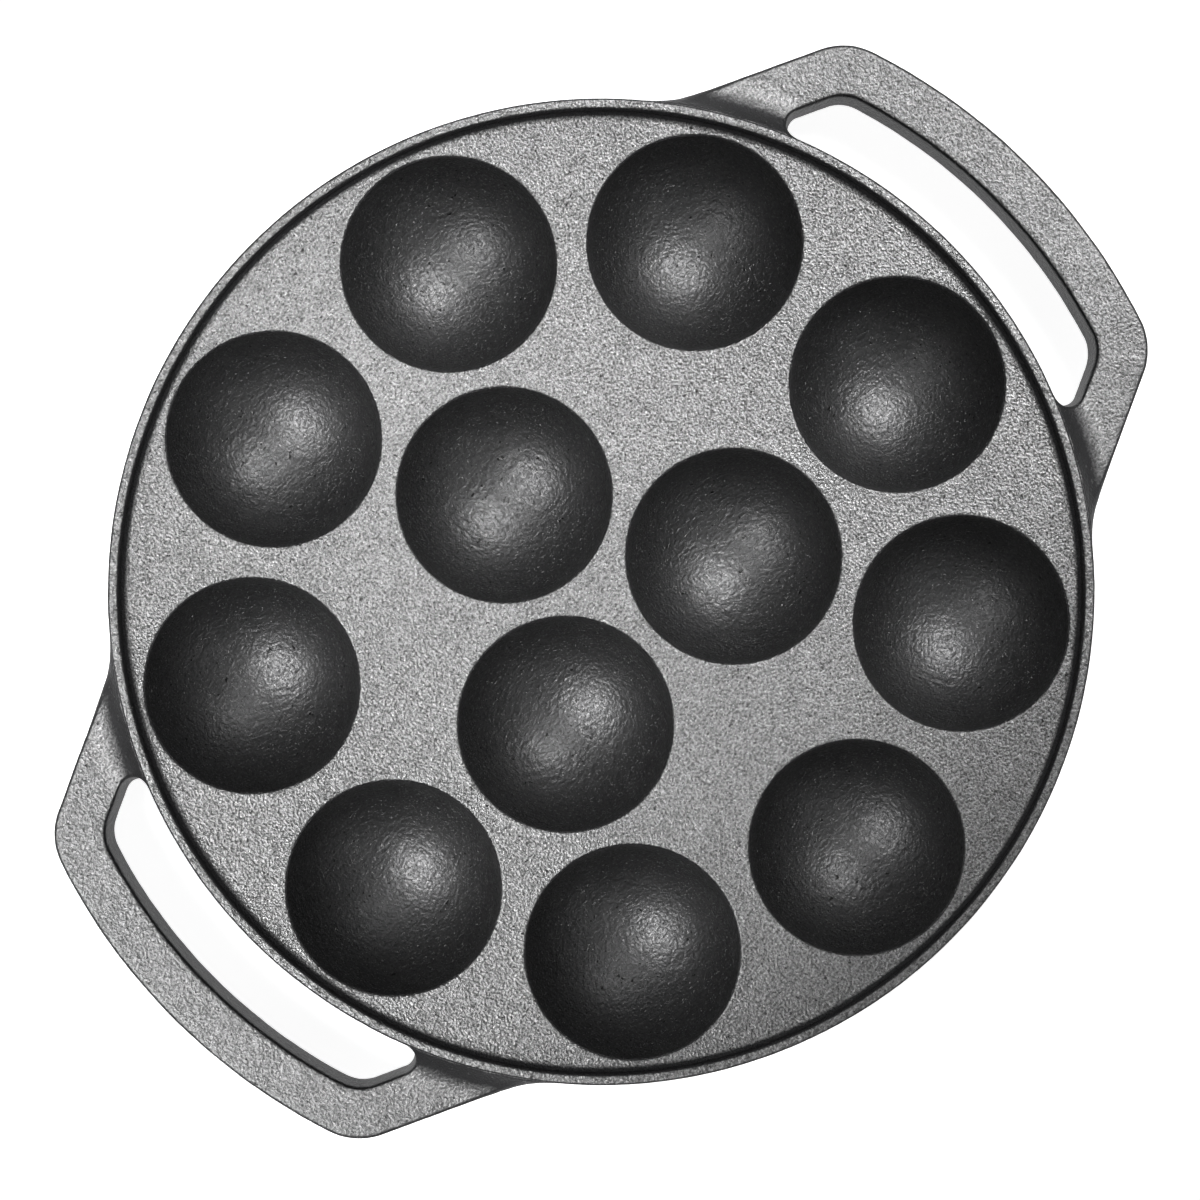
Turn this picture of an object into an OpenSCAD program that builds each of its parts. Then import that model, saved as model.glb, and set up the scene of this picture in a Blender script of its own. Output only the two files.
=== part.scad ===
// Cast-iron paniyaram pan: a flat deck with twelve round-bottomed cups, a raised rim around it
// and a loop handle on two opposite sides. All lengths are in millimetres.
// The handles lie along X, Z points up and zero height is the plane that the cups stand on.

/* [Rim] */
// Outer diameter of the rim
rim_d = 230; // [224:1:260]
// Height of the rim above the deck
rim_h = 3.5; // [2:0.1:8]
// Thickness of the rim above the deck
rim_wall = 2.8; // [2.2:0.1:5]
// Rounding of the rim's edges
rim_round = 0.9; // [0.3:0.1:1]
// Hollow rounding between the rim and the deck
rim_fillet = 1.1; // [0.5:0.1:3]

/* [Deck] */
// Thickness of the deck
deck_t = 4; // [3:0.25:6]

/* [Cups] */
// Depth of a cup below the deck
cup_depth = 23; // [18:0.5:25]
// Thickness of a cup's wall
cup_wall = 4; // [3.25:0.25:5]
// Thickness under a cup's lowest point, where its foot is flat
foot_wall = 3; // [2:0.25:3]
// Rounding of a cup's lip
lip_r = 0.8; // [0.3:0.1:1.5]
// Flat land of the cup's own metal around its lip
lip_land = 0.3; // [0.2:0.1:0.6]
// Number of cups in the outer ring
outer_cups = 9; // [9:1:11]
// Number of cups in the middle
inner_cups = 3; // [2:1:3]
// Flat strip of deck between an outer cup's lip and the rim
rim_strip = 0.9; // [0.8:0.1:3]
// Flat web of deck between two outer cups' lips, which sets how wide the cups are
ring_web = 6.3; // [5:0.1:9]
// Flat web of deck between two middle cups' lips
cup_web = 4; // [2:0.25:5]
// Turn of the first outer cup from the handles' line, in degrees
outer_start = 30; // [0:1:60]
// Turn of the first middle cup from the handles' line, in degrees
inner_start = 90; // [0:5:120]

/* [Handles] */
// Gap for the fingers between the rim and the grip
slot_w = 15.1; // [12:0.1:30]
// Width of the handle's bar at its top
bar_w = 11.7; // [9:0.1:16]
// Thickness of the handle
handle_t = 10; // [8:0.5:14]
// Drop from the top of the rim to the top of the handle
handle_drop = 6; // [3:0.1:8]
// Width of the handle, where its sides would meet the grip's outer edge
handle_w = 102; // [90:1:120]
// Lean of the handle's sides towards the handles' line, in degrees
side_lean = 24.8; // [15:0.1:35]
// Rounding of the handle's outer corners
grip_corner_r = 15.5; // [12:0.5:25]
// Rounding of the slot's outer corners
slot_corner_r = 9.5; // [4:0.1:13]
// Rounding of the slot's ends beside the rim
slot_end_r = 4; // [2.2:0.1:6]
// Hollow rounding in plan between a side of the handle and the rim
root_r = 25; // [10:1:35]
// Hollow rounding from the handle's top up the rim's wall
rise_r = 12; // [5:0.1:18]
// Draft of the handle's walls, in degrees
draft = 6; // [0:1:8]
// Rounding of the handle's edges
bar_round = 1.2; // [0.5:0.1:2]
// Band of the rim that reaches below the handle
band_below = 1; // [0.5:0.25:5]

/* [Hidden] */
cup_count = outer_cups + inner_cups;
$fn = 96;
overrun = 1;
iron = [0.46, 0.46, 0.46];
dark_iron = [0.17, 0.17, 0.18];

// Heights of the deck, the rim and the handles
deck_top = foot_wall + cup_depth;
deck_z = deck_top - deck_t;
rim_top = deck_top + rim_h;
handle_top = rim_top - handle_drop;
handle_z = handle_top - handle_t;
band_z = handle_z - band_below;

// Radii of the rim: its outer wall, its inner wall and the seam where the deck starts
rim_r = rim_d / 2;
rim_inner_r = rim_r - rim_wall;
seam_r = rim_inner_r - rim_fillet;

// The outer cups fill the ring inside the rim, so their width follows from the rim, their number
// and their webs. lip_x is the distance from a cup's axis to the middle of its lip's round.
ring_pitch = 1 / sin(180 / outer_cups);
lip_x = (seam_r - rim_strip - ring_web / 2 * ring_pitch) / (1 + ring_pitch);
outer_ring_r = seam_r - rim_strip - lip_x;
inner_ring_r = (lip_x + cup_web / 2) / sin(180 / inner_cups);

// A cup is part of a ball; its lip is a small round that runs on from the ball to the deck.
// The ball reaches into the round by a trace, so that the two surfaces cross cleanly.
lip_trace = 0.0005;
lip_reach = lip_r - lip_trace;
bowl_r = (lip_x ^ 2 + (cup_depth - lip_r) ^ 2 - lip_reach ^ 2) / (2 * (cup_depth - lip_trace));
bowl_z = foot_wall + bowl_r;
shell_r = bowl_r + cup_wall;
lip_z = deck_top - lip_r;
hole_r = lip_x + lip_land;
lip_start_z = bowl_z - (bowl_z - lip_z) * bowl_r / (bowl_r + lip_r);

function polar(r, a) = r * [cos(a), sin(a)];
function cup_name(i) = str("cup_", i < 10 ? "0" : "", i);
function cup_place(i) = i <= outer_cups
    ? polar(outer_ring_r, outer_start + 360 * (i - 1) / outer_cups)
    : polar(inner_ring_r, inner_start + 360 * (i - 1 - outer_cups) / inner_cups);

// Plan of a handle's upper half. The bar keeps one width along its side and along the grip.
// Each side is a straight line whose outward normal points at side_turn, side_reach from the axis.
grip_r = rim_r + slot_w + bar_w;
side_turn = 90 - side_lean;
side_reach = polar(1, side_turn) * [sqrt(grip_r ^ 2 - (handle_w / 2) ^ 2), handle_w / 2];
grip_corner_turn = side_turn - acos((side_reach - grip_corner_r) / (grip_r - grip_corner_r));
slot_corner_at = grip_r - bar_w - slot_corner_r;
slot_corner_turn = side_turn - acos((side_reach - bar_w - slot_corner_r) / slot_corner_at);
root_turn = side_turn - acos((side_reach + root_r) / (rim_r + root_r));
slot_end_turn = side_turn - acos((side_reach - bar_w - slot_end_r) / (rim_r + slot_end_r));
grip_corner_centre = polar(grip_r - grip_corner_r, grip_corner_turn);
slot_corner_centre = polar(slot_corner_at, slot_corner_turn);
root_centre = polar(rim_r + root_r, root_turn);
slot_end_centre = polar(rim_r + slot_end_r, slot_end_turn);

// Steps of the bar's sweep, and the part of it that is buried in the rim and then cut away
root_steps = 7;
side_steps = 6;
corner_steps = 8;
grip_steps = 8;
round_steps = 3;
crown_steps = 4;
root_bury = rim_wall;
root_runout = 3;

// An edge of the bar is a list of places, each with the direction in which its wall faces
function edge_arc(centre, r, from, to, steps, face) = [
    for (i = [0:steps])
        let (a = from + (to - from) * i / steps)
            [centre + polar(r, a), polar(face, a)]
];
function joined(first, second, steps) = concat(
    first,
    [for (i = [1:steps - 1]) first[len(first) - 1] * (1 - i / steps) + second[0] * i / steps],
    second
);
function tail(list) = [for (i = [1:len(list) - 1]) list[i]];
function backwards(list) = [for (i = [len(list) - 1:-1:0]) list[i]];
function mirrored(edge) = [for (e = edge) [[e[0].x, -e[0].y], [e[1].x, -e[1].y]]];
function both_halves(edge) = concat(edge, tail(backwards(mirrored(edge))));

outer_edge = both_halves(concat(
    [[polar(rim_r - root_bury, root_turn + root_runout), polar(1, root_turn)]],
    joined(
        edge_arc(root_centre, root_r, root_turn + 180, side_turn + 180, root_steps, -1),
        edge_arc(grip_corner_centre, grip_corner_r, side_turn, grip_corner_turn, corner_steps, 1),
        side_steps
    ),
    tail(edge_arc([0, 0], grip_r, grip_corner_turn, 0, grip_steps, 1))
));
slot_edge = both_halves(concat(
    [[polar(rim_r - root_bury, slot_end_turn - root_runout), polar(1, slot_end_turn)]],
    joined(
        edge_arc(slot_end_centre, slot_end_r, slot_end_turn + 180, side_turn, root_steps, -1),
        edge_arc(slot_corner_centre, slot_corner_r, side_turn, slot_corner_turn, corner_steps, -1),
        side_steps
    ),
    tail(edge_arc([0, 0], grip_r - bar_w, slot_corner_turn, 0, grip_steps, -1))
));

// Profile of one wall of the bar from its bottom round to its top round, as offsets and heights.
// The wall leans outwards as it goes down, by the draft.
wall_profile = concat(
    [for (i = [0:round_steps])
        [handle_t * tan(draft) - bar_round * tan(45 + draft / 2), handle_z + bar_round]
        + polar(bar_round, -90 + (90 + draft) * i / round_steps)],
    [for (i = [0:round_steps])
        [-bar_round * tan(45 - draft / 2), handle_top - bar_round]
        + polar(bar_round, draft + (90 - draft) * i / round_steps)]
);
mid_z = (handle_top + handle_z) / 2;

// The top of the bar sweeps up the rim's wall to where the rim's rounding starts
rise_h = min(handle_drop - rim_round, rise_r);
rise_w = sqrt(rise_r ^ 2 - (rise_r - rise_h) ^ 2);
function rise(r) = rise_r - sqrt(rise_r ^ 2 - min(max(rim_r + rise_w - r, 0), rise_w) ^ 2);
function lifted(p) = p.z > mid_z ? [p.x, p.y, p.z + rise(norm([p.x, p.y]))] : p;

function wall_points(e) = [for (s = wall_profile) concat(e[0] + s.x * e[1], [s.y])];
function crown(a, b) = [for (i = [1:crown_steps - 1]) a + (b - a) * i / crown_steps];
function bar_ring(i) =
    let (
        outer = wall_points(outer_edge[i]),
        slot = wall_points(slot_edge[i]),
        last = len(wall_profile) - 1
    )
    [for (p = concat(outer, crown(outer[last], slot[last]), backwards(slot))) lifted(p)];

module cup_section() {
    difference() {
        union() {
            intersection() {
                translate([0, bowl_z]) circle(r = shell_r);
                square([shell_r, deck_z]);
            }
            translate([0, deck_z]) square([hole_r, deck_t]);
        }
        translate([0, bowl_z]) circle(r = bowl_r);
        difference() {
            translate([lip_x - 2 * lip_r, lip_start_z]) square([2 * lip_r, 2 * lip_r]);
            translate([lip_x, lip_z]) circle(r = lip_r);
        }
    }
}

// Far side of the plane midway between two cups, where the next cup's shell takes over
module beyond_middle(here, there) {
    turn = atan2(there.y - here.y, there.x - here.x);
    translate((here + there) / 2)
        rotate([0, 0, turn])
            translate([0, -shell_r, -overrun]) cube([2 * shell_r, 2 * shell_r, deck_top + overrun]);
}

module cup(i) {
    here = cup_place(i);
    color(dark_iron)
        difference() {
            intersection() {
                translate(here) rotate_extrude() cup_section();
                translate([0, 0, -overrun]) cylinder(r = seam_r, h = deck_top + 2 * overrun);
            }
            for (j = [1:cup_count]) {
                if (j != i && norm(cup_place(j) - here) < 2 * shell_r)
                    beyond_middle(here, cup_place(j));
            }
        }
}

module deck() {
    color(iron)
        difference() {
            translate([0, 0, deck_z]) cylinder(r = seam_r, h = deck_t);
            for (i = [1:cup_count])
                translate(concat(cup_place(i), [deck_z - overrun])) cylinder(r = hole_r, h = deck_t + 2 * overrun);
        }
}

// Rectangle with its four corners rounded
module soft_bar(w, h, r) {
    translate([r, 0]) square([w - 2 * r, h]);
    translate([0, r]) square([w, h - 2 * r]);
    for (x = [r, w - r], y = [r, h - r])
        translate([x, y]) circle(r = r);
}

module rim_section() {
    translate([rim_inner_r, band_z]) soft_bar(rim_wall, rim_top - band_z, rim_round);
    translate([seam_r, band_z]) soft_bar(rim_r - seam_r, deck_top - band_z, rim_round);
    translate([seam_r, deck_z]) square([rim_r - seam_r, deck_t]);
    difference() {
        translate([seam_r, deck_top]) square([rim_fillet, rim_fillet]);
        translate([seam_r, deck_top + rim_fillet]) circle(r = rim_fillet);
    }
}

module rim() {
    color(iron) rotate_extrude() rim_section();
}

// The bar is swept through its rings, then its buried ends are cut to the rim's outer wall
module handle() {
    rings = [for (i = [0:len(outer_edge) - 1]) bar_ring(i)];
    around = len(rings[0]);
    last = (len(rings) - 1) * around;
    sides = [
        for (i = [0:len(rings) - 2], j = [0:around - 1])
            let (a = i * around + j, b = i * around + (j + 1) % around)
                each [[a, b, b + around], [a, b + around, a + around]]
    ];
    ends = [
        for (j = [1:around - 2])
            each [[0, j + 1, j], [last, last + j, last + j + 1]]
    ];
    color(iron)
        difference() {
            polyhedron(points = [for (ring = rings) each ring], faces = concat(sides, ends));
            translate([0, 0, band_z - overrun]) cylinder(r = rim_r, h = rim_top - band_z + 2 * overrun);
        }
}

module handle_right() {
    handle();
}

module handle_left() {
    rotate([0, 0, 180]) handle();
}

deck();
rim();
for (i = [1:cup_count]) cup(i);
handle_right();
handle_left();
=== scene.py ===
import logging
import math
from dataclasses import dataclass, field, replace
from enum import Enum
from typing import Callable, Sequence

import bmesh
import bpy
from mathutils import Euler, Matrix, Vector, noise
from mathutils.geometry import delaunay_2d_cdt


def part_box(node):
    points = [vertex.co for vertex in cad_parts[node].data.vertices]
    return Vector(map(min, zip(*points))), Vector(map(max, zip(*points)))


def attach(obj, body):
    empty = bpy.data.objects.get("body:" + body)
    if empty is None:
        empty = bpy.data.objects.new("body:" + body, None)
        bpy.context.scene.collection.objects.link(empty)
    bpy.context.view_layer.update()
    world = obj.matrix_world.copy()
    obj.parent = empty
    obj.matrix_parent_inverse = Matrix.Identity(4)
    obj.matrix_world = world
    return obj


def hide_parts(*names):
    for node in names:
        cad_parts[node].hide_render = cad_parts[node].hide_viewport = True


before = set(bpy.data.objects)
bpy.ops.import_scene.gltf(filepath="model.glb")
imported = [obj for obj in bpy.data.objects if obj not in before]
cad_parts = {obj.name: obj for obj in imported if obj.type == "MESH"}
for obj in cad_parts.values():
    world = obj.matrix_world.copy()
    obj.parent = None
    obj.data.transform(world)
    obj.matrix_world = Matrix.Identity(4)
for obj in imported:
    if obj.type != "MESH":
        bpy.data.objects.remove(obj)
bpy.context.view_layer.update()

LOG = logging.getLogger("paniyaram_pan")
BODY = "root"
MM = 0.001
PER_MM = 1000.0
WHITE = (1.0, 1.0, 1.0, 1.0)
UNIT = (0.0, 1.0)

# A section's end that is this near to the axis is a pole.
ON_AXIS_MM = 1e-9
# Triangulation of the deck: points that are this near to each other are one, and its output is triangles.
MERGE_MM = 1e-4
AS_TRIANGLES = 0
# Ranges of cloud noise: the one that it seldom leaves, and the one that most of it lies in.
MOST_OF_NOISE = (0.3, 0.7)
CORE_OF_NOISE = (0.35, 0.65)

Point2 = tuple[float, float]
Point3 = tuple[float, float, float]
Span = tuple[float, float]
Colour = tuple[float, float, float, float]
Face = tuple[int, ...]
Piece = bpy.types.Object
Tree = bpy.types.NodeTree
Socket = bpy.types.NodeSocket


def polar(radius: float, degrees: float) -> Vector:
    """Returns the flat point at a radius and a turn in degrees from the handles' line."""
    turn = math.radians(degrees)
    return Vector((radius * math.cos(turn), radius * math.sin(turn)))


def evenly_round(radius: float, count: int, start: float = 0.0) -> list[Vector]:
    """Returns points at even turns round the pan's axis, from a turn in degrees on."""
    return [polar(radius, start + 360 * i / count) for i in range(count)]


def linear_colour(hex_colour: str) -> Colour:
    """Turns an sRGB hex colour such as "#3a3a3c" into Blender's linear RGBA.

    Args:
        hex_colour: The colour as six hex digits after a hash sign.

    Returns:
        The colour's linear red, green and blue, and an alpha of one.
    """
    channels = []
    for start in (1, 3, 5):
        value = int(hex_colour[start:start + 2], 16) / 255
        channels.append(value / 12.92 if value <= 0.04045 else ((value + 0.055) / 1.055) ** 2.4)
    return (channels[0], channels[1], channels[2], 1.0)


def arc_points(centre: Point2, radius: float, start: float, end: float, steps: int) -> list[Point2]:
    """Works out points along an arc in a section, from one turn to another, both ends included.

    Args:
        centre: The arc's centre as radius from the pan's axis and height, in millimetres.
        radius: The arc's radius in millimetres.
        start: The first point's turn in degrees.
        end: The last point's turn in degrees.
        steps: The number of equal steps between them.

    Returns:
        The arc's points in order.
    """
    points = []
    for step in range(steps + 1):
        offset = polar(radius, start + (end - start) * step / steps)
        points.append((centre[0] + offset.x, centre[1] + offset.y))
    return points


def line_points(start: Point2, end: Point2, step: float) -> list[Point2]:
    """Works out the points between two ends of a section's line, both ends left out.

    Args:
        start: The first end.
        end: The last end.
        step: The longest distance between neighbouring points.

    Returns:
        The points in order from the first end to the last.
    """
    count = max(1, math.ceil(math.dist(start, end) / step))
    shares = [index / count for index in range(1, count)]
    return [(start[0] + (end[0] - start[0]) * s, start[1] + (end[1] - start[1]) * s) for s in shares]


def smooth_share(value: float, low: float, high: float) -> float:
    """Returns 0 below low, 1 above high, and an easy curve between them."""
    share = min(max((value - low) / (high - low), 0.0), 1.0)
    return share * share * (3 - 2 * share)


@dataclass(frozen=True)
class PanSizes:
    """Sizes that the pan's regions share, in millimetres and degrees, as the casting has them."""

    rim_r: float
    rim_top: float
    band_z: float
    deck_top: float
    deck_z: float
    rim_wall: float = 2.8
    rim_round: float = 0.9
    rim_fillet: float = 1.1
    foot_wall: float = 3.0
    cup_wall: float = 4.0
    lip_r: float = 0.8
    lip_land: float = 0.3
    rim_strip: float = 0.9
    ring_web: float = 6.3
    cup_web: float = 4.0
    outer_cups: int = 9
    inner_cups: int = 3
    outer_start: float = 30.0
    inner_start: float = 90.0

    @classmethod
    def from_frame(cls) -> "PanSizes":
        """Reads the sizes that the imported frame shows, and keeps the others as they are.

        Returns:
            The sizes.
        """
        rim_low, rim_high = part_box("rim")
        deck_low, deck_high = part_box("deck")
        return cls(
            rim_r=rim_high.x * PER_MM,
            rim_top=rim_high.z * PER_MM,
            band_z=rim_low.z * PER_MM,
            deck_top=deck_high.z * PER_MM,
            deck_z=deck_low.z * PER_MM,
        )

    @property
    def rim_inner_r(self) -> float:
        """Radius of the rim's inner wall."""
        return self.rim_r - self.rim_wall

    @property
    def seam_r(self) -> float:
        """Radius where the deck ends and the rim's hollow round starts."""
        return self.rim_inner_r - self.rim_fillet

    @property
    def lip_x(self) -> float:
        """Distance from a cup's axis to the centre of its lip's round, which the outer ring's room sets."""
        pitch = 1 / math.sin(math.pi / self.outer_cups)
        return (self.seam_r - self.rim_strip - self.ring_web / 2 * pitch) / (1 + pitch)

    @property
    def bowl_r(self) -> float:
        """Radius of the ball that a cup's inside is part of. It meets the lip's round smoothly."""
        depth = self.deck_top - self.foot_wall
        return (self.lip_x ** 2 + (depth - self.lip_r) ** 2 - self.lip_r ** 2) / (2 * depth)

    @property
    def bowl_z(self) -> float:
        """Height of that ball's centre."""
        return self.foot_wall + self.bowl_r

    @property
    def shell_r(self) -> float:
        """Radius of the ball that a cup's outside is part of."""
        return self.bowl_r + self.cup_wall

    @property
    def hole_r(self) -> float:
        """Radius of the deck's hole round a cup."""
        return self.lip_x + self.lip_land

    def cup_places(self) -> list[Vector]:
        """Works out the cups' axes in plan.

        Returns:
            The axes in the order of the cups' numbers, the outer ring first.
        """
        outer_r = self.seam_r - self.rim_strip - self.lip_x
        inner_r = (self.lip_x + self.cup_web / 2) / math.sin(math.pi / self.inner_cups)
        outer = evenly_round(outer_r, self.outer_cups, self.outer_start)
        return outer + evenly_round(inner_r, self.inner_cups, self.inner_start)


@dataclass(frozen=True)
class CastRelief:
    """Unevenness that the sand mould leaves in the metal, as real shape and not only as shading.

    It only sinks into the metal, so that the pan keeps its measured size. Its sizes are in
    millimetres.
    """

    wave_mm: float = 7.0
    wave_height: float = 0.05
    lump_mm: float = 2.2
    lump_height: float = 0.035

    def height(self, place: Vector) -> float:
        """Works out the relief at a place.

        Args:
            place: The place in millimetres.

        Returns:
            The height in millimetres, never above zero.
        """
        wave = noise.noise(place / self.wave_mm) - 1
        lump = noise.noise(place / self.lump_mm) - 1
        return wave * self.wave_height + lump * self.lump_height

    def press(self, mesh: bpy.types.Mesh, weight: Callable[[Vector], float]) -> None:
        """Moves a mesh's points along their normals by the relief.

        Args:
            mesh: The mesh, in metres.
            weight: Gives the share of the relief at a place in millimetres, 0 at the seams.
        """
        normals = [vertex.normal.copy() for vertex in mesh.vertices]
        for vertex, normal in zip(mesh.vertices, normals):
            place = vertex.co * PER_MM
            share = weight(place)
            if share > 0:
                vertex.co += normal * (self.height(place) * share * MM)
        mesh.update()


def mesh_piece(name: str, points: Sequence[Point3], faces: Sequence[Face]) -> Piece:
    """Makes an object from points in millimetres and faces.

    Args:
        name: The piece's name.
        points: Its points in the pan's frame, in millimetres.
        faces: Its faces as point numbers.

    Returns:
        The new object, linked to the scene, with outward normals.
    """
    mesh = bpy.data.meshes.new(name)
    mesh.from_pydata([Vector(p) * MM for p in points], [], faces)
    build = bmesh.new()
    build.from_mesh(mesh)
    bmesh.ops.recalc_face_normals(build, faces=build.faces)
    build.to_mesh(mesh)
    build.free()
    piece = bpy.data.objects.new(name, mesh)
    bpy.context.scene.collection.objects.link(piece)
    return piece


def revolved(section: Sequence[Point2], steps: int, axis: Vector) -> tuple[list[Point3], list[Face]]:
    """Turns a section round an upright axis.

    Args:
        section: Radii and heights. A closed ring of them, or an open line whose two ends lie on the axis.
        steps: The number of steps round.
        axis: The axis in plan.

    Returns:
        The points and the faces.
    """
    on_axis = section[0][0] < ON_AXIS_MM
    body = section[1:-1] if on_axis else section
    count = len(body)
    points: list[Point3] = []
    for turn in evenly_round(1, steps):
        points.extend((axis.x + r * turn.x, axis.y + r * turn.y, z) for r, z in body)
    last = count - 1 if on_axis else count
    starts = [(step * count, (step + 1) % steps * count) for step in range(steps)]
    faces: list[Face] = []
    for here, there in starts:
        for i in range(last):
            j = (i + 1) % count
            faces.append((here + i, here + j, there + j, there + i))
    if on_axis:
        for end, height in ((0, section[0][1]), (count - 1, section[-1][1])):
            pole = len(points)
            points.append((axis.x, axis.y, height))
            faces.extend((pole, here + end, there + end) for here, there in starts)
    return points, faces


def soften(piece: Piece, edge_degrees: float = 38.0) -> None:
    """Shades a piece smooth and keeps the edges that are sharper than an angle."""
    piece.data.shade_smooth()
    piece.data.set_sharp_from_angle(angle=math.radians(edge_degrees))


class Slot(Enum):
    """The record's material slots."""

    DECK = "deck_iron"
    RIM = "rim_iron"
    CUP = "cup_iron"
    HANDLE = "handle_iron"


def seat(piece: Piece, node: str) -> None:
    """Lets a piece stand for its CAD node and ride on the pan.

    Args:
        piece: The finished piece.
        node: The CAD node's name.
    """
    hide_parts(node)
    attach(piece, BODY)


def add_node(tree: Tree, kind: str, inputs: dict | Sequence = (), **settings: object) -> bpy.types.Node:
    """Adds a shader node with its settings, values and links.

    Args:
        tree: The material's or the world's node tree.
        kind: The node's Blender type.
        inputs: A value, or an output socket to link, for each named or numbered socket, or for the
            first sockets in their order.
        **settings: Properties of the node itself.

    Returns:
        The new node.
    """
    node = tree.nodes.new(kind)
    for key, value in settings.items():
        setattr(node, key, value)
    pairs = inputs.items() if isinstance(inputs, dict) else enumerate(inputs)
    for key, value in pairs:
        if isinstance(value, Socket):
            tree.links.new(value, node.inputs[key])
        else:
            node.inputs[key].default_value = value
    return node


@dataclass(frozen=True)
class CloudNoise:
    """Cloud noise: its lumps' width in millimetres, and the number and strength of its finer layers."""

    lump_mm: float
    layers: float
    layer_share: float


@dataclass(frozen=True)
class CastIronFinish:
    """Grey cast iron as its mould left it. The sizes are in millimetres.

    The metal has no paint: its colour is in its reflection, so it keeps a metallic of one. The sand's
    grain prints as close small lumps that break the shine up. Dark oxide stays in their hollows and
    in a few open pores, and small spots are rubbed to pale flecks. The sand's own grains, of about
    0.3 mm, are too fine to show, so their print is drawn about twice as coarse. Where a finish gives
    a colour for it, walls and undersides are painted darker than the faces that look up: painted shade
    where less light falls. The pores' depth and the flecks' rise are shares of the grain's height.
    """

    name: str
    hollow_hex: str
    crest_hex: str
    pore_hex: str
    fleck_hex: str
    roughness: Span
    grain: CloudNoise
    grain_height: float
    ripple_height: float
    mottle_share: float
    ripple: CloudNoise = CloudNoise(1.5, 1.0, 0.5)
    mottle: CloudNoise = CloudNoise(5.0, 3.0, 0.6)
    pores: CloudNoise = CloudNoise(1.3, 2.0, 0.5)
    pore_level: Span = (0.68, 0.74)
    pore_depth: float = 0.6
    flecks: CloudNoise = CloudNoise(0.55, 1.0, 0.5)
    fleck_level: Span = (0.63, 0.7)
    fleck_rise: float = 0.0
    # Painted shade: walls and undersides get this darker colour, fading in as their faces turn from looking
    # up.
    wall_shade_hex: str | None = None
    wall_shade_slope: Span = (0.84, 0.97)
    wall_shade_ragged: float = 0.03

    def material(self) -> bpy.types.Material:
        """Builds the procedural material.

        Returns:
            The material, whose patterns follow the place on the piece in millimetres.
        """
        material = bpy.data.materials.new(self.name)
        material.use_nodes = True
        tree = material.node_tree
        tree.nodes.clear()
        spot = add_node(tree, "ShaderNodeTexCoord").outputs
        in_mm = add_node(tree, "ShaderNodeMapping", {"Vector": spot["Object"], "Scale": (PER_MM,) * 3})
        grain, ripple, mottle, pores, flecks = (
            add_node(tree, "ShaderNodeTexNoise", {
                "Vector": in_mm.outputs[0], "Scale": 1 / cloud.lump_mm,
                "Detail": cloud.layers, "Roughness": cloud.layer_share}).outputs[0]
            for cloud in (self.grain, self.ripple, self.mottle, self.pores, self.flecks))
        # A Map Range node takes a value, its range and the range that this turns into.
        crest, patch, pore, fleck, roughness = (
            add_node(tree, "ShaderNodeMapRange", (height, *span, *ends)).outputs[0]
            for height, span, ends in (
                (grain, MOST_OF_NOISE, UNIT), (mottle, CORE_OF_NOISE, UNIT), (pores, self.pore_level, UNIT),
                (flecks, self.fleck_level, UNIT), (grain, CORE_OF_NOISE, self.roughness)))
        # A Mix node has its factor at 0, two numbers at 2 and 3, and two colours at 6 and 7.
        tone = add_node(tree, "ShaderNodeMix", {0: self.mottle_share, 2: crest, 3: patch}).outputs[0]
        # Each coat's colour covers the ones before it where its mask is 1.
        coats = [(tone, self.crest_hex), (fleck, self.fleck_hex)]
        # Painted shade on walls and undersides, darker than the faces that look up.
        if self.wall_shade_hex:
            coats.append((self._wall_shade(tree, spot["Normal"], grain), self.wall_shade_hex))
        coats.append((pore, self.pore_hex))
        colour = linear_colour(self.hollow_hex)
        for mask, hex_colour in coats:
            colour = add_node(tree, "ShaderNodeMix", {
                0: mask, 6: colour, 7: linear_colour(hex_colour)}, data_type="RGBA").outputs[2]
        height = grain
        for marks, share in (
                (ripple, self.ripple_height / self.grain_height),
                (pore, -self.pore_depth), (fleck, self.fleck_rise)):
            height = add_node(
                tree, "ShaderNodeMath", (marks, share, height), operation="MULTIPLY_ADD").outputs[0]
        bump = add_node(tree, "ShaderNodeBump", {
            "Height": height, "Distance": self.grain_height * MM, "Strength": 1.0}).outputs[0]
        shader = add_node(tree, "ShaderNodeBsdfPrincipled", {
            "Base Color": colour, "Metallic": 1.0, "Roughness": roughness, "Normal": bump})
        add_node(tree, "ShaderNodeOutputMaterial", {"Surface": shader.outputs[0]})
        return material

    def _wall_shade(self, tree: Tree, normal: Socket, grain: Socket) -> Socket:
        """Finds where the painted shade lies: not on faces that look up, and ragged at its edge.

        Args:
            tree: The material's node tree.
            normal: The surface's direction in the pan's frame.
            grain: The grain's height, which frays the shade's edge.

        Returns:
            A socket that is 1 where the shade is painted and 0 elsewhere.
        """
        upward = add_node(tree, "ShaderNodeSeparateXYZ", {"Vector": normal}).outputs["Z"]
        ragged = add_node(tree, "ShaderNodeMapRange", (
            grain, *MOST_OF_NOISE, -self.wall_shade_ragged / 2, self.wall_shade_ragged / 2)).outputs[0]
        slope = add_node(tree, "ShaderNodeMath", (upward, ragged), operation="ADD").outputs[0]
        return add_node(tree, "ShaderNodeMapRange", (slope, *self.wall_shade_slope, 1.0, 0.0)).outputs[0]


# Deck and rim: the sand's print stays open and catches the light as fine grey grain. Their walls and
# undersides are painted darker than their tops: painted shade.
SAND_CAST = CastIronFinish(
    name="sand_cast_grey_iron",
    hollow_hex="#585858", crest_hex="#a2a2a2", pore_hex="#4c4c4c", fleck_hex="#b0b0b0", wall_shade_hex="#3e3e3f",
    roughness=(0.54, 0.45), grain=CloudNoise(0.62, 1.5, 0.6), grain_height=0.36, ripple_height=0.17,
    mottle_share=0.12,
)
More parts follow.
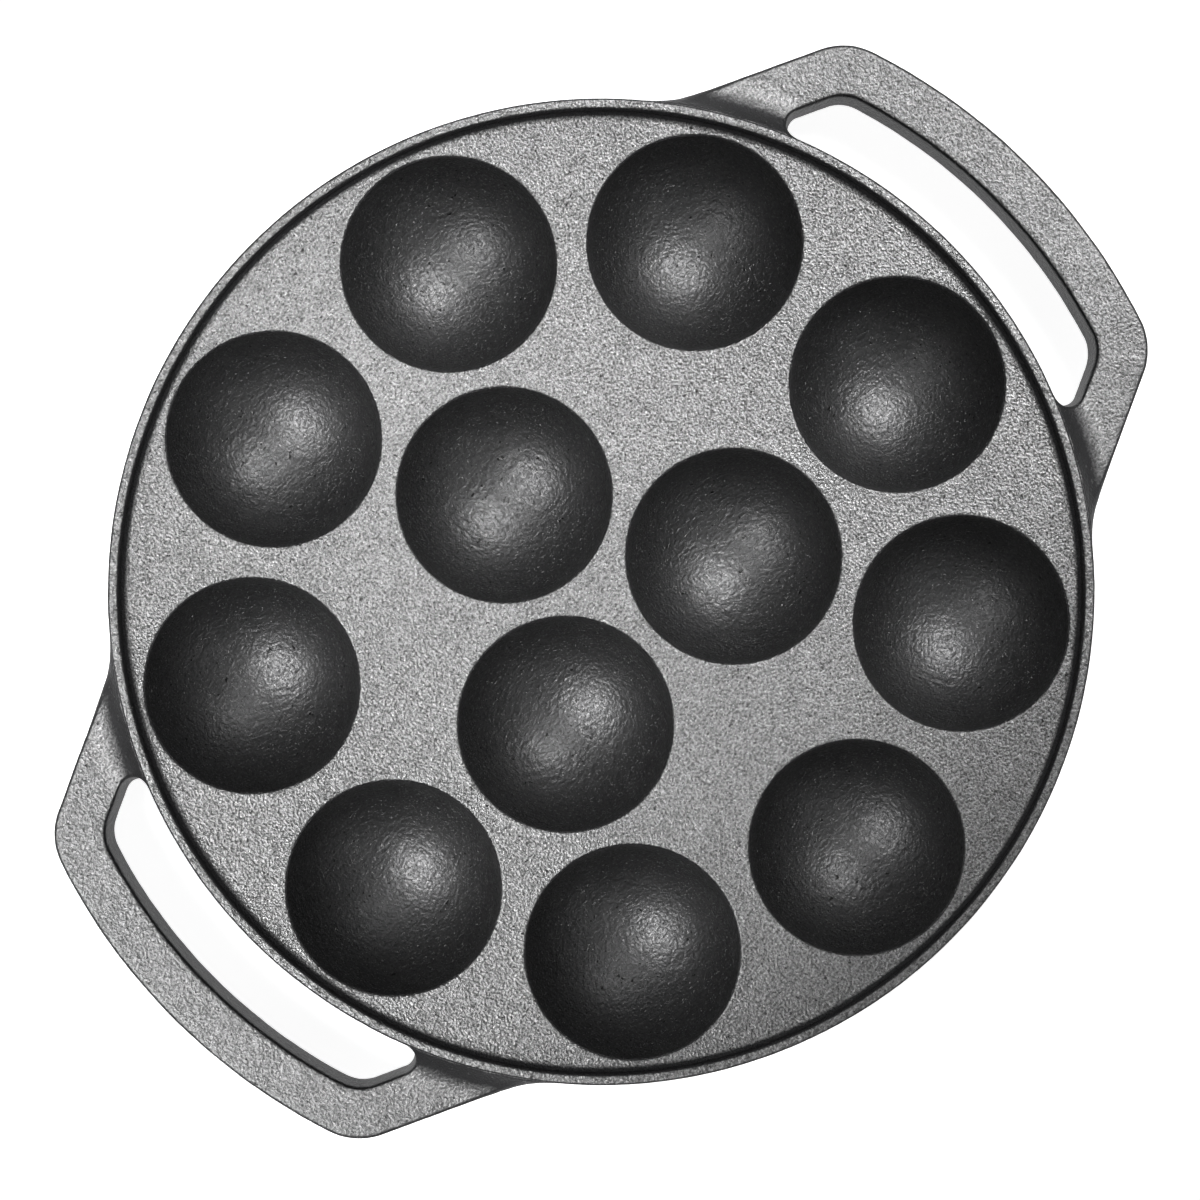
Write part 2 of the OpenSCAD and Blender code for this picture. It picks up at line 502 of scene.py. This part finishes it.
# Handles: the same print, rubbed softer by tumbling and by hands. They keep the rim's painted shade on
# walls and undersides, without a seam.
HAND_WORN_CAST = replace(
    SAND_CAST, name="hand_worn_grey_iron",
    hollow_hex="#686868", crest_hex="#969696", pore_hex="#5c5c5c", fleck_hex="#a0a0a0",
    roughness=(0.58, 0.5), grain_height=0.24,
)
# Cups: finer facing sand and baked-on oil, so they are darker and shine in a soft orange peel.
SEASONED_BOWL = CastIronFinish(
    name="seasoned_cast_iron_bowl",
    hollow_hex="#525253", crest_hex="#666666", pore_hex="#2c2c2c", fleck_hex="#909090",
    roughness=(0.55, 0.42), grain=CloudNoise(0.76, 1.5, 0.6), grain_height=0.19, ripple_height=0.22,
    mottle_share=0.3, flecks=CloudNoise(0.5, 1.0, 0.5), fleck_level=(0.62, 0.78), fleck_rise=0.9,
)


@dataclass
class Finishes:
    """The pan's materials, built once."""

    sand_cast: bpy.types.Material = field(default_factory=SAND_CAST.material)
    hand_worn: bpy.types.Material = field(default_factory=HAND_WORN_CAST.material)
    bowl: bpy.types.Material = field(default_factory=SEASONED_BOWL.material)


@dataclass
class Deck:
    """The flat plate between the cups, with a hole for each. The relief fades out towards its edges."""

    sizes: PanSizes
    rim_steps: int = 360
    cup_steps: int = 120
    grid: float = 1.6
    fade: float = 2.0
    relief: CastRelief = CastRelief()

    def seams(self) -> list[list[Vector]]:
        """Works out the plate's closed edges in plan.

        Returns:
            The points of the outer edge, then those of the hole round each cup.
        """
        hole = evenly_round(self.sizes.hole_r, self.cup_steps)
        holes = [[place + point for point in hole] for place in self.sizes.cup_places()]
        return [evenly_round(self.sizes.seam_r, self.rim_steps)] + holes

    def margin(self, place: Vector) -> float:
        """Measures how far a place in plan lies inside the plate's metal.

        Args:
            place: The place in millimetres. Its height plays no part.

        Returns:
            The distance to the nearest edge, below zero outside the metal.
        """
        flat = Vector((place.x, place.y))
        to_cups = min((flat - cup).length for cup in self.sizes.cup_places()) - self.sizes.hole_r
        return min(self.sizes.seam_r - flat.length, to_cups)

    def inner_points(self) -> list[Vector]:
        """Lays a staggered grid of points inside the metal, clear of its edges.

        Returns:
            The points in plan.
        """
        row_height = self.grid * math.sqrt(3) / 2
        rows = math.ceil(self.sizes.seam_r / row_height)
        columns = math.ceil(self.sizes.seam_r / self.grid) + 1
        points = []
        for row in range(-rows, rows + 1):
            shift = self.grid / 2 * (row % 2)
            for column in range(-columns, columns + 1):
                point = Vector((column * self.grid + shift, row * row_height))
                if self.margin(point) > self.grid / 2:
                    points.append(point)
        return points

    def mesh(self) -> Piece:
        """Builds the closed plate: both faces, its outer edge and its holes' walls.

        Returns:
            The bare plate.
        """
        flat: list[Vector] = []
        edges: list[tuple[int, int]] = []
        for ring in self.seams():
            first = len(flat)
            flat.extend(ring)
            edges.extend((first + i, first + (i + 1) % len(ring)) for i in range(len(ring)))
        flat.extend(self.inner_points())
        plan, _, triangles, *_ = delaunay_2d_cdt(flat, edges, [], AS_TRIANGLES, MERGE_MM)
        middles = [sum((plan[i] for i in corners), Vector((0, 0))) / len(corners) for corners in triangles]
        kept = [tuple(corners) for corners, middle in zip(triangles, middles) if self.margin(middle) > 0]
        count = len(plan)
        top = [(p.x, p.y, self.sizes.deck_top) for p in plan]
        bottom = [(p.x, p.y, self.sizes.deck_z) for p in plan]
        faces = kept + [tuple(count + i for i in reversed(corners)) for corners in kept]
        faces += [(a, b, b + count, a + count) for a, b in edges]
        return mesh_piece("deck_plate", top + bottom, faces)

    def build(self, finishes: Finishes) -> Piece:
        """Builds, presses and dresses the plate.

        Args:
            finishes: The pan's materials.

        Returns:
            The finished plate.
        """
        piece = self.mesh()
        self.relief.press(piece.data, lambda place: smooth_share(self.margin(place), 0, self.fade))
        soften(piece)
        piece.data.materials.append(finishes.sand_cast)
        seat(piece, "deck")
        return piece


@dataclass
class Rim:
    """The raised rim, its hollow round down to the deck, and the band below it.

    The hollow round is wider than the solid's, as the photograph's dark groove shows it, and laps
    onto the deck.
    """

    sizes: PanSizes
    steps: int = 720
    arc_steps: int = 8
    line_step: float = 1.6
    fade: float = 1.5
    apron_r: float = 1.9
    relief: CastRelief = CastRelief(wave_mm=9.0, wave_height=0.06)

    def section(self) -> list[Point2]:
        """Works out the ring's closed section.

        Returns:
            Its points as radii and heights, from the hollow round's foot on the deck over the top.
        """
        s = self.sizes
        inner, outer, seam = s.rim_inner_r, s.rim_r, s.seam_r
        r, f, low, top = s.rim_round, self.apron_r, s.band_z, s.rim_top
        corners: list[list[Point2]] = [
            arc_points((inner - f, s.deck_top + f), f, -90, 0, self.arc_steps),
            arc_points((inner + r, top - r), r, 180, 90, self.arc_steps),
            arc_points((outer - r, top - r), r, 90, 0, self.arc_steps),
            arc_points((outer - r, low + r), r, 0, -90, self.arc_steps),
            arc_points((seam + r, low + r), r, -90, -180, self.arc_steps),
            [(seam, s.deck_z)],
        ]
        points: list[Point2] = []
        for corner, following in zip(corners, corners[1:] + corners[:1]):
            points.extend(corner)
            points.extend(line_points(corner[-1], following[0], self.line_step))
        return points

    def build(self, finishes: Finishes) -> Piece:
        """Turns the section round the pan's axis, presses the ring and dresses it.

        Args:
            finishes: The pan's materials.

        Returns:
            The finished rim.
        """
        points, faces = revolved(self.section(), self.steps, Vector((0, 0)))
        piece = mesh_piece("rim_band", points, faces)
        self.relief.press(piece.data, self.weight)
        soften(piece)
        piece.data.materials.append(finishes.sand_cast)
        seat(piece, "rim")
        return piece

    def weight(self, place: Vector) -> float:
        """Returns the share of the relief at a place, 0 where the deck and the cups meet the rim."""
        radius = math.hypot(place.x, place.y)
        return smooth_share(radius, self.sizes.seam_r, self.sizes.seam_r + self.fade)


@dataclass
class Cup:
    """One cup: its bowl, its lip, the collar in the deck's hole, its shell and its flat foot.

    The bowl's finish starts a share of the lip's round below the deck. The relief fades in over
    lip_fade below the deck inside, and over shoulder_fade and foot_fade outside.
    """

    sizes: PanSizes
    number: int
    steps: int = 120
    bowl_steps: int = 44
    lip_steps: int = 6
    shell_steps: int = 36
    foot_step: float = 2.0
    bowl_margin: float = 1.0
    bare_lip: float = 1 / 3
    lip_fade: Span = (0.05, 1.2)
    shoulder_fade: float = 2.0
    foot_fade: float = 1.5
    relief: CastRelief = CastRelief(wave_mm=6.5, wave_height=0.045, lump_mm=2.4, lump_height=0.03)
    axis: Vector = field(init=False)

    def __post_init__(self) -> None:
        """Finds the cup's axis by its number."""
        self.axis = self.sizes.cup_places()[self.number - 1]

    def section(self) -> list[Point2]:
        """Works out the cup's section from the bowl's lowest point over the lip to the foot's middle.

        Returns:
            The points as distances from the cup's axis and heights.
        """
        s = self.sizes
        lip_z = s.deck_top - s.lip_r
        slope = math.degrees(math.atan2(lip_z - s.bowl_z, s.lip_x))
        bowl = arc_points((0, s.bowl_z), s.bowl_r, -90, slope, self.bowl_steps)
        lip = arc_points((s.lip_x, lip_z), s.lip_r, 180 + slope, 90, self.lip_steps)
        collar = [(s.hole_r, s.deck_top), (s.hole_r, s.deck_z)]
        shell_turn = -math.degrees(math.asin((s.bowl_z - s.deck_z) / s.shell_r))
        foot_turn = -math.degrees(math.asin(s.bowl_z / s.shell_r))
        shell = arc_points((0, s.bowl_z), s.shell_r, shell_turn, foot_turn, self.shell_steps)
        foot = line_points(shell[-1], (0, 0), self.foot_step) + [(0, 0)]
        return bowl + lip[1:] + collar + shell + foot

    def cut_to_neighbours(self, piece: Piece) -> None:
        """Cuts the shell at the planes midway to the next cups and holds it inside the rim.

        Args:
            piece: The cup's whole casting.
        """
        build = bmesh.new()
        build.from_mesh(piece.data)
        for neighbour in self.sizes.cup_places():
            apart = neighbour - self.axis
            if 0 < apart.length < 2 * self.sizes.shell_r:
                middle = (self.axis + neighbour) / 2 * MM
                cut = bmesh.ops.bisect_plane(
                    build, geom=build.verts[:] + build.edges[:] + build.faces[:], clear_outer=True,
                    plane_co=(middle.x, middle.y, 0), plane_no=(apart.x, apart.y, 0))
                open_edges = [part for part in cut["geom_cut"] if isinstance(part, bmesh.types.BMEdge)]
                if open_edges:
                    bmesh.ops.edgeloop_fill(build, edges=open_edges)
        for vertex in build.verts:
            radius = math.hypot(vertex.co.x, vertex.co.y) * PER_MM
            if radius > self.sizes.seam_r:
                vertex.co.xy *= self.sizes.seam_r / radius
        bmesh.ops.recalc_face_normals(build, faces=build.faces)
        build.to_mesh(piece.data)
        build.free()

    def build(self, finishes: Finishes) -> Piece:
        """Turns the section, cuts it to its neighbours, presses it and dresses it.

        Args:
            finishes: The pan's materials.

        Returns:
            The finished cup.
        """
        points, faces = revolved(self.section(), self.steps, self.axis)
        name = f"cup_{self.number:02d}"
        piece = mesh_piece(f"{name}_casting", points, faces)
        self.cut_to_neighbours(piece)
        self.relief.press(piece.data, self.weight)
        soften(piece)
        piece.data.materials.append(finishes.sand_cast)
        piece.data.materials.append(finishes.bowl)
        for face in piece.data.polygons:
            face.material_index = int(self.seasoned(face.center * PER_MM))
        seat(piece, name)
        return piece

    def inside(self, place: Vector) -> bool:
        """Tells whether a place lies on the bowl or its lip, and not on the shell."""
        from_centre = math.dist(place, (self.axis.x, self.axis.y, self.sizes.bowl_z))
        return from_centre < self.sizes.bowl_r + self.bowl_margin

    def seasoned(self, place: Vector) -> bool:
        """Tells whether a place has the bowl's finish: inside, but not on the lip's upper part."""
        return self.inside(place) and place.z < self.sizes.deck_top - self.sizes.lip_r * self.bare_lip

    def weight(self, place: Vector) -> float:
        """Weighs the relief, which leaves the lip's land, collar, shoulder and foot as they are.

        Args:
            place: The place in millimetres.

        Returns:
            The share of the relief there.
        """
        if self.inside(place):
            return smooth_share(self.sizes.deck_top - place.z, *self.lip_fade)
        below_shoulder = smooth_share(self.sizes.deck_z - place.z, 0, self.shoulder_fade)
        return below_shoulder * smooth_share(place.z, 0, self.foot_fade)


class Side(Enum):
    """The two ends of the handles' line, with the sign of X there."""

    RIGHT = 1
    LEFT = -1


@dataclass(frozen=True)
class EdgePoint:
    """A point of the handle's outline in plan, and the direction in which its wall faces."""

    place: Vector
    facing: Vector

    def mirrored(self) -> "EdgePoint":
        """Returns the point on the other side of the handles' line."""
        return EdgePoint(Vector((self.place.x, -self.place.y)), Vector((self.facing.x, -self.facing.y)))


@dataclass
class Handle:
    """A loop handle: a bar of one width from the rim round the fingers' slot and back.

    It is worked out on the right and turned round for the left. Its ends are buried in the rim.
    """

    sizes: PanSizes
    side: Side
    slot_w: float = 15.1
    bar_w: float = 11.7
    thickness: float = 10.0
    drop: float = 6.0
    width: float = 102.0
    side_lean: float = 24.8
    grip_corner_r: float = 15.5
    slot_corner_r: float = 9.5
    slot_end_r: float = 4.0
    root_r: float = 25.0
    rise_r: float = 12.0
    draft: float = 6.0
    bar_round: float = 1.2
    bury: float = 1.6
    runout: float = 3.0
    fade: float = 2.0
    root_steps: int = 16
    side_steps: int = 24
    corner_steps: int = 18
    grip_steps: int = 44
    round_steps: int = 6
    wall_steps: int = 7
    crown_steps: int = 14
    relief: CastRelief = CastRelief(wave_mm=8.0, wave_height=0.08, lump_mm=2.0, lump_height=0.05)

    @property
    def top(self) -> float:
        """Height of the bar's top."""
        return self.sizes.rim_top - self.drop

    @property
    def bottom(self) -> float:
        """Height of the bar's underside."""
        return self.top - self.thickness

    @property
    def rise_h(self) -> float:
        """Height that the bar's top climbs up the rim's wall."""
        return min(self.drop - self.sizes.rim_round, self.rise_r)

    @property
    def rise_w(self) -> float:
        """Distance from the rim's wall over which it climbs."""
        return math.sqrt(self.rise_r ** 2 - (self.rise_r - self.rise_h) ** 2)

    def edges(self) -> tuple[list[EdgePoint], list[EdgePoint]]:
        """Works out the outline of the right handle in plan.

        Returns:
            The outer edge and the slot's edge, each from one root to the other.
        """
        rim_r = self.sizes.rim_r
        grip_r = rim_r + self.slot_w + self.bar_w
        slot_r = grip_r - self.bar_w
        side_turn = 90 - self.side_lean
        half = self.width / 2
        reach = polar(1, side_turn).dot(Vector((math.sqrt(grip_r ** 2 - half ** 2), half)))

        def turn_of(near: float, far: float) -> float:
            """Returns the turn of a centre at radius far that reaches near in the side's facing."""
            return side_turn - math.degrees(math.acos(near / far))

        grip_turn = turn_of(reach - self.grip_corner_r, grip_r - self.grip_corner_r)
        slot_turn = turn_of(reach - self.bar_w - self.slot_corner_r, slot_r - self.slot_corner_r)
        root_turn = turn_of(reach + self.root_r, rim_r + self.root_r)
        end_turn = turn_of(reach - self.bar_w - self.slot_end_r, rim_r + self.slot_end_r)
        grip_corner = polar(grip_r - self.grip_corner_r, grip_turn)
        slot_corner = polar(slot_r - self.slot_corner_r, slot_turn)
        root = polar(rim_r + self.root_r, root_turn)
        end = polar(rim_r + self.slot_end_r, end_turn)
        centre = Vector((0, 0))
        outer = self._edge(
            EdgePoint(polar(rim_r - self.bury, root_turn + self.runout), polar(1, root_turn)),
            self._arc(root, self.root_r, (root_turn + 180, side_turn + 180), self.root_steps, -1),
            self._arc(grip_corner, self.grip_corner_r, (side_turn, grip_turn), self.corner_steps, 1),
            self._arc(centre, grip_r, (grip_turn, 0), self.grip_steps, 1),
        )
        slot = self._edge(
            EdgePoint(polar(rim_r - self.bury, end_turn - self.runout), polar(1, end_turn)),
            self._arc(end, self.slot_end_r, (end_turn + 180, side_turn), self.root_steps, -1),
            self._arc(slot_corner, self.slot_corner_r, (side_turn, slot_turn), self.corner_steps, -1),
            self._arc(centre, slot_r, (slot_turn, 0), self.grip_steps, -1),
        )
        return outer, slot

    @staticmethod
    def _arc(centre: Vector, radius: float, ends: Span, steps: int, face: int) -> list[EdgePoint]:
        """Returns an arc of the outline. Its wall faces away from the centre at 1, towards it at -1."""
        turns = [ends[0] + (ends[1] - ends[0]) * i / steps for i in range(steps + 1)]
        return [EdgePoint(centre + polar(radius, turn), polar(face, turn)) for turn in turns]

    def _edge(self, buried: EdgePoint, root: list[EdgePoint], corner: list[EdgePoint],
              grip: list[EdgePoint]) -> list[EdgePoint]:
        """Joins one edge's stretches by its straight side and adds the mirrored half.

        Args:
            buried: The end inside the rim.
            root: The arc from the rim to the side.
            corner: The arc from the side to the grip.
            grip: The arc from the corner to the handle's middle.

        Returns:
            The whole edge.
        """
        shares = [i / self.side_steps for i in range(1, self.side_steps)]
        side = [EdgePoint(root[-1].place.lerp(corner[0].place, s), root[-1].facing) for s in shares]
        half = [buried] + root + side + corner + grip[1:]
        return half + [point.mirrored() for point in reversed(half[:-1])]

    def wall(self) -> list[Point2]:
        """Works out one wall's profile from its lower round to its upper round.

        Returns:
            The points as offsets from the outline and heights.
        """
        lean = math.radians(self.draft)
        r, steps = self.bar_round, self.round_steps
        foot = self.thickness * math.tan(lean) - r * math.tan(math.pi / 4 + lean / 2)
        head = -r * math.tan(math.pi / 4 - lean / 2)
        lower = arc_points((foot, self.bottom + r), r, -90, self.draft, steps)
        upper = arc_points((head, self.top - r), r, self.draft, 90, steps)
        return lower + line_points(lower[-1], upper[0], self.thickness / self.wall_steps) + upper

    def lifted(self, place: Vector) -> Vector:
        """Lifts a point of the bar's upper half where the bar climbs up the rim's wall.

        Args:
            place: The point of the level bar.

        Returns:
            The point where the climbing bar has it.
        """
        middle = (self.top + self.bottom) / 2
        if place.z <= middle:
            return place
        near = min(max(self.sizes.rim_r + self.rise_w - math.hypot(place.x, place.y), 0), self.rise_w)
        climb = self.rise_r - math.sqrt(self.rise_r ** 2 - near ** 2)
        share = smooth_share(place.z, middle, self.top - self.bar_round)
        return Vector((place.x, place.y, place.z + climb * share))

    def ring(self, outer: EdgePoint, slot: EdgePoint, wall: list[Point2]) -> list[Vector]:
        """Works out the bar's closed section between its two edges.

        Args:
            outer: The point of the outer edge.
            slot: The point of the slot's edge.
            wall: The walls' profile.

        Returns:
            The section's points, up the outer wall and down the slot's.
        """
        outer_wall, slot_wall = (
            [(edge.place + edge.facing * offset).to_3d() + Vector((0, 0, z)) for offset, z in wall]
            for edge in (outer, slot))
        points = outer_wall + self.across(outer_wall[-1], slot_wall[-1])
        points += slot_wall[::-1] + self.across(slot_wall[0], outer_wall[0])
        return [self.lifted(point) for point in points]

    def across(self, start: Vector, end: Vector) -> list[Vector]:
        """Works out the points between two edges, along an arc round the pan's axis.

        Args:
            start: The point on the first edge.
            end: The point on the other edge, at the same height.

        Returns:
            The points between them.
        """
        start_r, end_r = math.hypot(start.x, start.y), math.hypot(end.x, end.y)
        start_a, end_a = math.atan2(start.y, start.x), math.atan2(end.y, end.x)
        points = []
        for step in range(1, self.crown_steps):
            share = step / self.crown_steps
            flat = polar(start_r + (end_r - start_r) * share,
                         math.degrees(start_a + (end_a - start_a) * share))
            points.append(Vector((flat.x, flat.y, start.z)))
        return points

    def cap(self, count: int) -> list[Face]:
        """Closes the bar's first section, in strips that follow the rim.

        Args:
            count: The number of points in one wall's profile.

        Returns:
            The faces as numbers of the section's points.
        """
        crown = self.crown_steps - 1
        over = list(range(count, count + crown))
        under = list(range(2 * count + 2 * crown - 1, 2 * count + crown - 1, -1))
        strips = [(over[i], over[i + 1], under[i + 1], under[i]) for i in range(crown - 1)]
        outer = tuple(range(count)) + (over[0], under[0])
        slot = tuple(range(count + crown, 2 * count + crown)) + (under[-1], over[-1])
        return [outer, slot] + strips

    def build(self, finishes: Finishes) -> Piece:
        """Sweeps the bar's section along the loop, presses it and dresses it.

        Args:
            finishes: The pan's materials.

        Returns:
            The finished handle.
        """
        wall = self.wall()
        rings = [self.ring(outer, slot, wall) for outer, slot in zip(*self.edges())]
        around = len(rings[0])
        sign = self.side.value
        points = [(sign * p.x, sign * p.y, p.z) for ring in rings for p in ring]
        faces: list[Face] = []
        for first in range(0, len(points) - around, around):
            for j in range(around):
                a, b = first + j, first + (j + 1) % around
                faces.append((a, b, b + around, a + around))
        for first in (0, len(points) - around):
            faces += [tuple(first + i for i in face) for face in self.cap(len(wall))]
        name = f"handle_{self.side.name.lower()}"
        piece = mesh_piece(f"{name}_loop", points, faces)
        self.relief.press(piece.data, self.weight)
        soften(piece)
        piece.data.materials.append(finishes.hand_worn)
        seat(piece, name)
        return piece

    def weight(self, place: Vector) -> float:
        """Returns the share of the relief at a place, 0 at the rim's wall."""
        return smooth_share(math.hypot(place.x, place.y), self.sizes.rim_r, self.sizes.rim_r + self.fade)


def seen_ray(tree: Tree) -> Socket:
    """Tells the rays that show a thing itself, to the camera or in metal or glass, from other light.

    Args:
        tree: The node tree of the floor or of the world.

    Returns:
        A socket that is 1 for those rays and 0 for others.
    """
    path = add_node(tree, "ShaderNodeLightPath").outputs
    seen = path["Is Camera Ray"]
    for ray in ("Is Glossy Ray", "Is Transmission Ray"):
        seen = add_node(tree, "ShaderNodeMath", (seen, path[ray]), operation="MAXIMUM").outputs[0]
    return seen


@dataclass(frozen=True)
class Panel:
    """A soft lamp that faces a place on the deck. Lengths are in metres and turns in degrees.

    It hangs at a distance from that place, in the direction of its azimuth from the right handle and
    tilted from straight above. Its size is its width across and along that direction. Its radiance
    is 1 where it is as bright as a white sheet. Its spread is the angle that its grid leaves open.
    """

    name: str
    over: Point2
    azimuth: float
    tilt: float
    distance: float
    size: Point2
    radiance: float
    spread: float = 180.0

    def mirrored(self, name: str) -> "Panel":
        """Returns the same panel over the other handle's half, under a name of its own."""
        return replace(self, name=name, over=(-self.over[0], self.over[1]), azimuth=180 - self.azimuth)

    def hang(self, deck_top: float) -> None:
        """Hangs the panel.

        Args:
            deck_top: The deck's height in metres.
        """
        data = bpy.data.lights.new(self.name, "AREA")
        data.shape = "RECTANGLE"
        data.size, data.size_y = self.size
        data.energy = self.radiance * math.pi * self.size[0] * self.size[1]
        data.spread = math.radians(self.spread)
        lamp = bpy.data.objects.new(self.name, data)
        turn = Euler((0, math.radians(self.tilt), math.radians(self.azimuth))).to_matrix()
        lamp.location = Vector((*self.over, deck_top)) + turn @ Vector((0, 0, self.distance))
        lamp.rotation_euler = (turn @ Matrix.Rotation(math.pi / 2, 3, "Z")).to_euler()
        lamp.visible_camera = False
        bpy.context.scene.collection.objects.link(lamp)


# A gridded softbox hangs over each handle's half of the pan, and a dim panel hangs in front.
SOFTBOX = Panel(
    "softbox_right", over=(0.075, 0.03), azimuth=12.0, tilt=30.0, distance=0.26, size=(0.24, 0.17),
    radiance=1.15, spread=31.0)
FRONT_PANEL = Panel(
    "panel_front", over=(0.0, 0.0), azimuth=-90.0, tilt=57.0, distance=1.2, size=(0.8, 0.6), radiance=0.65)


@dataclass
class Studio:
    """The floor, the room, the lamps and the camera above the pan. Its lengths are in metres.

    The rim's radius and the pan's centre in the photograph are in its own pixels. The floor's glow and
    the room's white wall are there only for the rays that show them, and light nothing. The wall
    fades out where the view rises from the first of two steepnesses to the second.
    """

    sizes: PanSizes
    photo_px: float = 1200.0
    rim_radius_px: float = 494.4
    pan_centre_px: Point2 = (601.2, 591.8)
    camera_height: float = 0.8
    camera_turn: float = -45.0
    sensor_mm: float = 36.0
    floor_half: float = 20.0
    floor_glow: float = 0.9
    paper_hex: str = "#ededed"
    paper_roughness: float = 0.9
    paper_specular: float = 0.1
    room_level: float = 0.1
    wall_fade: Span = (0.18, 0.32)

    def image_point(self, right: float, up: float) -> Vector:
        """Turns a distance to the image's right and up into the pan's plan."""
        return polar(right, self.camera_turn) + polar(up, self.camera_turn + 90)

    def camera(self) -> None:
        """Puts the camera straight above the pan, framed as the photograph is."""
        per_px = self.sizes.rim_r * MM / self.rim_radius_px
        field_m = per_px * self.photo_px
        middle = self.photo_px / 2
        right = (middle - self.pan_centre_px[0]) * per_px
        up = (self.pan_centre_px[1] - middle) * per_px
        data = bpy.data.cameras.new("photo_camera")
        data.sensor_width = self.sensor_mm
        data.lens = self.sensor_mm * self.camera_height / field_m
        camera = bpy.data.objects.new("photo_camera", data)
        flat = self.image_point(right, up)
        camera.location = (flat.x, flat.y, self.sizes.rim_top * MM + self.camera_height)
        camera.rotation_euler = (0, 0, math.radians(self.camera_turn))
        bpy.context.scene.collection.objects.link(camera)
        bpy.context.scene.camera = camera

    def floor(self) -> None:
        """Lays the pale floor of matt, uncoated paper. Where it is seen, it is lifted towards white."""
        half = self.floor_half * PER_MM
        corners = [(-half, -half, 0), (half, -half, 0), (half, half, 0), (-half, half, 0)]
        floor = mesh_piece("studio_floor", corners, [(0, 1, 2, 3)])
        material = bpy.data.materials.new("matt_white_paper")
        material.use_nodes = True
        tree = material.node_tree
        tree.nodes.clear()
        glow = add_node(tree, "ShaderNodeMath", (seen_ray(tree), self.floor_glow), operation="MULTIPLY")
        shader = add_node(tree, "ShaderNodeBsdfPrincipled", {
            "Base Color": linear_colour(self.paper_hex), "Roughness": self.paper_roughness,
            "Specular IOR Level": self.paper_specular, "Emission Color": WHITE,
            "Emission Strength": glow.outputs[0]})
        add_node(tree, "ShaderNodeOutputMaterial", {"Surface": shader.outputs[0]})
        floor.data.materials.append(material)

    def world(self) -> None:
        """Lights the room with an even grey. Low views and reflections see a white wall round the floor."""
        world = bpy.data.worlds.new("studio_room")
        world.use_nodes = True
        tree = world.node_tree
        tree.nodes.clear()
        way = add_node(tree, "ShaderNodeTexCoord").outputs["Generated"]
        rise = add_node(tree, "ShaderNodeSeparateXYZ", {"Vector": way}).outputs["Z"]
        wall = add_node(tree, "ShaderNodeMapRange", (rise, *self.wall_fade, 1 - self.room_level, 0.0))
        level = add_node(
            tree, "ShaderNodeMath", (seen_ray(tree), wall.outputs[0], self.room_level),
            operation="MULTIPLY_ADD").outputs[0]
        light = add_node(tree, "ShaderNodeBackground", {"Color": WHITE, "Strength": level})
        add_node(tree, "ShaderNodeOutputWorld", {"Surface": light.outputs[0]})
        bpy.context.scene.world = world

    def build(self) -> None:
        """Sets the whole studio up."""
        self.camera()
        for panel in (SOFTBOX, SOFTBOX.mirrored("softbox_left"), FRONT_PANEL):
            panel.hang(self.sizes.deck_top * MM)
        self.floor()
        self.world()
        bpy.context.scene.view_settings.view_transform = "Standard"
        LOG.info("studio: camera %.0f mm above the rim", self.camera_height * PER_MM)


def main() -> None:
    """Builds the studio and the pan, region by region, and reports each piece."""
    logging.basicConfig(level=logging.INFO, format="%(name)s: %(message)s")
    sizes = PanSizes.from_frame()
    Studio(sizes).build()
    finishes = Finishes()
    castings: list[Deck | Rim | Cup | Handle] = [Deck(sizes), Rim(sizes)]
    castings += [Cup(sizes, number) for number in range(1, sizes.outer_cups + sizes.inner_cups + 1)]
    castings += [Handle(sizes, side) for side in Side]
    for casting in castings:
        piece = casting.build(finishes)
        LOG.info("%s: %d faces", piece.name, len(piece.data.polygons))


if __name__ == "__main__":
    main()
